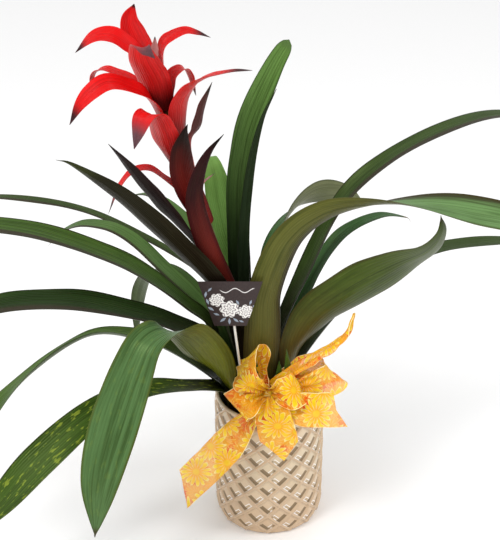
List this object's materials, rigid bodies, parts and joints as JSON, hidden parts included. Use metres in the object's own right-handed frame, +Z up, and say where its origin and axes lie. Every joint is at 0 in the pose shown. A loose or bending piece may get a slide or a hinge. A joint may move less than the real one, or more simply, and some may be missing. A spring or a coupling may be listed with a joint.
{
  "type": "potted bromeliad",
  "caption": "Bromeliad with arching strap leaves and a leaning red flower head, in a round lattice-pattern glazed pot, dressed with a ribbon bow and a small gift card on a stick.",
  "frame": {"origin": "centre of the pot's flat underside", "axes": "+Z up, the side shown to the room towards -Y, +X to the right when facing the object"},
  "size_m": [0.7512, 0.4125, 0.6266],
  "materials": {
    "cream_glaze": "gloss",
    "black_plastic": "satin",
    "potting_soil": "matte",
    "green_leaf": "satin",
    "dark_green_leaf": "satin",
    "pale_green_leaf": "satin",
    "olive_leaf": "satin",
    "maroon_leaf": "satin",
    "red_bract": "satin",
    "plum_card": "matte",
    "white_stick": "matte",
    "yellow_ribbon": "satin"
  },
  "bodies": {
    "root": {"bow_pick": "white_stick", "bract_back_left": "red_bract", "bract_back_right": "red_bract", "bract_front": "red_bract", "bract_front_low": "red_bract", "bract_heart": "red_bract", "bract_left": "red_bract", "bract_lower_left": "maroon_leaf", "bract_lower_right": "maroon_leaf", "bract_right": "red_bract", "bract_small_left": "red_bract", "bract_stub": "red_bract", "bract_top": "red_bract", "bract_top_left": "red_bract", "bract_top_right": "red_bract", "bract_twisted": "maroon_leaf", "bract_upright": "maroon_leaf", "card": "plum_card", "card_stick": "white_stick", "flower_stem": "green_leaf", "grower_pot": "black_plastic", "leaf_back_left": "green_leaf", "leaf_back_left_upper": "pale_green_leaf", "leaf_back_low": "green_leaf", "leaf_back_pale": "pale_green_leaf", "leaf_back_right": "green_leaf", "leaf_back_upright": "green_leaf", "leaf_back_upright_inner": "dark_green_leaf", "leaf_front_left": "olive_leaf", "leaf_front_right": "olive_leaf", "leaf_left_arching": "green_leaf", "leaf_left_dark": "maroon_leaf", "leaf_left_low": "green_leaf", "leaf_left_mid": "dark_green_leaf", "leaf_left_recurved": "pale_green_leaf", "leaf_left_thin": "green_leaf", "leaf_left_upper": "green_leaf", "leaf_right_broad": "green_leaf", "leaf_right_curled": "green_leaf", "leaf_right_low": "green_leaf", "leaf_right_rising": "green_leaf", "pot": "cream_glaze", "ribbon_knot": "yellow_ribbon", "ribbon_loop_centre": "yellow_ribbon", "ribbon_loop_left": "yellow_ribbon", "ribbon_loop_right": "yellow_ribbon", "ribbon_loop_top": "yellow_ribbon", "ribbon_tail_curled": "yellow_ribbon", "ribbon_tail_front": "yellow_ribbon", "ribbon_tail_left": "yellow_ribbon", "ribbon_tail_right": "yellow_ribbon", "shoot_front": "pale_green_leaf", "shoot_left": "pale_green_leaf", "shoot_right": "pale_green_leaf", "shoot_right_inner": "pale_green_leaf", "soil": "potting_soil"}
  },
  "joints": []
}
